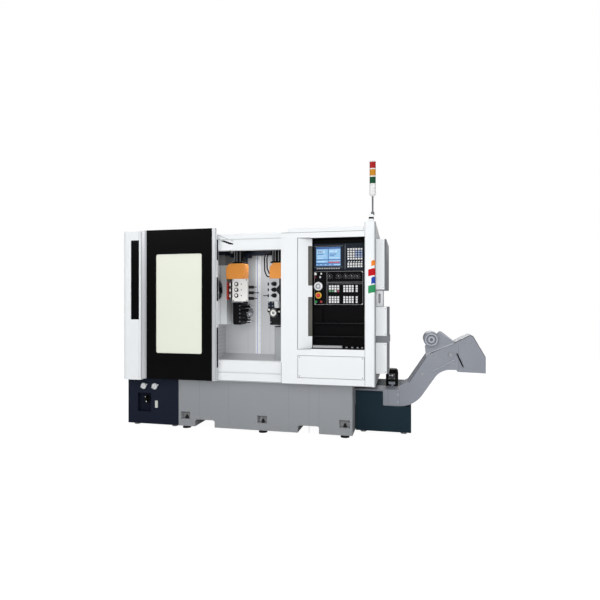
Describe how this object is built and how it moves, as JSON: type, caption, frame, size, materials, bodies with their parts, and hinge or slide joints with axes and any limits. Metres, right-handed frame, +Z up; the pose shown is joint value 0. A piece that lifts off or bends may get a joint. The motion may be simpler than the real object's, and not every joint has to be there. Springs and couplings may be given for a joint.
{
  "type": "cnc turning lathe",
  "caption": "Twin-spindle turning lathe with sliding front door, hanging gang tool posts, control niche, signal lamp, coolant tank and hinged-belt chip conveyor.",
  "frame": {"origin": "on the floor, under the middle of the bounding box", "axes": "+X along the spindles to the right, +Y to the back, +Z up"},
  "size_m": [3.012, 1.56, 2.192],
  "materials": {
    "white_enamel": "satin powder coat",
    "grey_enamel": "satin enamel on casting",
    "navy_enamel": "satin powder coat",
    "tank_enamel": "satin powder coat",
    "conveyor_enamel": "satin powder coat",
    "door_black": "gloss enamel",
    "window_sheet": "frosted polycarbonate",
    "trim_aluminium": "brushed anodised",
    "panel_black": "textured",
    "screen_glass": "display glass",
    "orange_enamel": "satin enamel",
    "bright_steel": "ground",
    "block_white": "satin enamel",
    "cast_dark": "painted dark",
    "motor_black": "satin enamel",
    "knob_black": "moulded",
    "stop_red": "moulded",
    "green_plastic": "moulded",
    "red_plastic": "moulded",
    "white_plastic": "moulded",
    "lamp_plastic": "clear coloured lens",
    "foot_black": "black oxide",
    "cable_black": "sheathed",
    "belt_steel": "rolled",
    "side_grey": "satin powder coat"
  },
  "bodies": {
    "machine": {"base_casting": "grey_enamel", "blank_cover": "white_enamel", "cnc_unit": "panel_black", "control_frame": "white_enamel", "conveyor_belt": "belt_steel", "conveyor_casing": "conveyor_enamel", "conveyor_drive": "conveyor_enamel", "coolant_pump": "motor_black", "coolant_tank": "tank_enamel", "door_sill": "white_enamel", "front_fixed_panel": "white_enamel", "headstock": "block_white", "left_cabinet": "navy_enamel", "left_cover": "white_enamel", "levelling_feet": "foot_black", "machine_bed": "cast_dark", "niche_liner": "panel_black", "operator_panel": "panel_black", "rear_cabinet": "white_enamel", "rear_panel": "white_enamel", "right_side_panel": "white_enamel", "roof_panel": "white_enamel", "screen": "screen_glass", "side_boxes": "side_grey", "signal_lamp": "lamp_plastic", "tower_pole": "side_grey", "work_area_wall": "side_grey"},
    "door": {"door_panel": "door_black", "door_window": "window_sheet", "door_trim": "trim_aluminium"},
    "main_spindle": {"main_spindle": "bright_steel"},
    "sub_head": {"sub_headstock": "block_white"},
    "sub_spindle": {"sub_spindle": "bright_steel"},
    "left_carriage": {"left_carriage": "cast_dark"},
    "left_post": {"left_tool_block": "block_white", "left_post_casing": "orange_enamel", "left_post_motor": "motor_black", "left_live_unit": "motor_black"},
    "left_nose": {"left_live_nose": "bright_steel"},
    "right_carriage": {"right_carriage": "cast_dark"},
    "right_post": {"right_tool_block": "block_white", "right_post_casing": "orange_enamel", "right_post_motor": "motor_black", "right_live_unit": "cast_dark", "motor_cables": "cable_black"},
    "right_nose": {"right_live_nose": "bright_steel"},
    "handwheel": {"handwheel": "bright_steel"},
    "key_switch": {"key_switch": "bright_steel"},
    "emergency_stop": {"emergency_stop": "stop_red"},
    "white_button": {"white_button": "white_plastic"},
    "green_button": {"green_button": "green_plastic"},
    "red_button": {"red_button": "red_plastic"},
    "mains_switch": {"mains_switch": "knob_black"},
    "drive_shaft": {"drive_shaft": "bright_steel"},
    "knob_1": {"rotary_knob_1": "knob_black"},
    "knob_2": {"rotary_knob_2": "knob_black"},
    "knob_3": {"rotary_knob_3": "knob_black"},
    "knob_4": {"rotary_knob_4": "knob_black"},
    "knob_5": {"rotary_knob_5": "knob_black"}
  },
  "joints": [
    {"name": "door_slide", "type": "slide", "parent": "machine", "child": "door", "axis": [1, 0, 0], "range_m": [0, 0.548]},
    {"name": "main_spindle_spin", "type": "hinge", "parent": "machine", "child": "main_spindle", "pos_m": [-0.9, -0.3, 1.192], "axis": [1, 0, 0], "continuous": true},
    {"name": "sub_head_slide", "type": "slide", "parent": "machine", "child": "sub_head", "axis": [1, 0, 0], "range_m": [-0.15, 0.1]},
    {"name": "sub_spindle_spin", "type": "hinge", "parent": "sub_head", "child": "sub_spindle", "pos_m": [0.1, -0.3, 1.192], "axis": [1, 0, 0], "continuous": true},
    {"name": "left_carriage_slide", "type": "slide", "parent": "machine", "child": "left_carriage", "axis": [1, 0, 0], "range_m": [-0.03, 0.08]},
    {"name": "left_post_slide", "type": "slide", "parent": "left_carriage", "child": "left_post", "axis": [0, 0, 1], "range_m": [-0.1, 0.04]},
    {"name": "left_nose_spin", "type": "hinge", "parent": "left_post", "child": "left_nose", "pos_m": [-0.5, -0.3, 0.985], "axis": [1, 0, 0], "continuous": true},
    {"name": "right_carriage_slide", "type": "slide", "parent": "machine", "child": "right_carriage", "axis": [1, 0, 0], "range_m": [-0.08, 0.15]},
    {"name": "right_post_slide", "type": "slide", "parent": "right_carriage", "child": "right_post", "axis": [0, 0, 1], "range_m": [-0.1, 0.04]},
    {"name": "right_nose_spin", "type": "hinge", "parent": "right_post", "child": "right_nose", "pos_m": [-0.258, -0.38, 0.985], "axis": [0, 1, 0], "continuous": true},
    {"name": "handwheel_spin", "type": "hinge", "parent": "machine", "child": "handwheel", "pos_m": [0.208, -0.71, 1.21], "axis": [0, 1, 0], "continuous": true},
    {"name": "key_switch_turn", "type": "hinge", "parent": "machine", "child": "key_switch", "pos_m": [0.222, -0.71, 1.284], "axis": [0, 1, 0], "range_deg": [0, 90]},
    {"name": "emergency_stop_push", "type": "slide", "parent": "machine", "child": "emergency_stop", "axis": [0, 1, 0], "range_m": [0, 0.004], "stiffness_N_per_m": 400},
    {"name": "white_button_push", "type": "slide", "parent": "machine", "child": "white_button", "axis": [0, 1, 0], "range_m": [0, 0.004], "stiffness_N_per_m": 300},
    {"name": "green_button_push", "type": "slide", "parent": "machine", "child": "green_button", "axis": [0, 1, 0], "range_m": [0, 0.004], "stiffness_N_per_m": 300},
    {"name": "red_button_push", "type": "slide", "parent": "machine", "child": "red_button", "axis": [0, 1, 0], "range_m": [0, 0.004], "stiffness_N_per_m": 300},
    {"name": "mains_switch_turn", "type": "hinge", "parent": "machine", "child": "mains_switch", "pos_m": [-1.326, -0.67, 0.234], "axis": [0, 1, 0], "range_deg": [0, 90]},
    {"name": "drive_shaft_spin", "type": "hinge", "parent": "machine", "child": "drive_shaft", "pos_m": [1.24, -0.395, 0.6625], "axis": [0, 1, 0], "continuous": true},
    {"name": "knob_1_turn", "type": "hinge", "parent": "machine", "child": "knob_1", "pos_m": [0.299, -0.71, 1.283], "axis": [0, 1, 0], "range_deg": [-135, 135]},
    {"name": "knob_2_turn", "type": "hinge", "parent": "machine", "child": "knob_2", "pos_m": [0.371, -0.71, 1.283], "axis": [0, 1, 0], "range_deg": [-135, 135]},
    {"name": "knob_3_turn", "type": "hinge", "parent": "machine", "child": "knob_3", "pos_m": [0.427, -0.71, 1.283], "axis": [0, 1, 0], "range_deg": [-135, 135]},
    {"name": "knob_4_turn", "type": "hinge", "parent": "machine", "child": "knob_4", "pos_m": [0.475, -0.71, 1.283], "axis": [0, 1, 0], "range_deg": [-135, 135]},
    {"name": "knob_5_turn", "type": "hinge", "parent": "machine", "child": "knob_5", "pos_m": [0.518, -0.71, 1.283], "axis": [0, 1, 0], "range_deg": [-135, 135]}
  ]
}
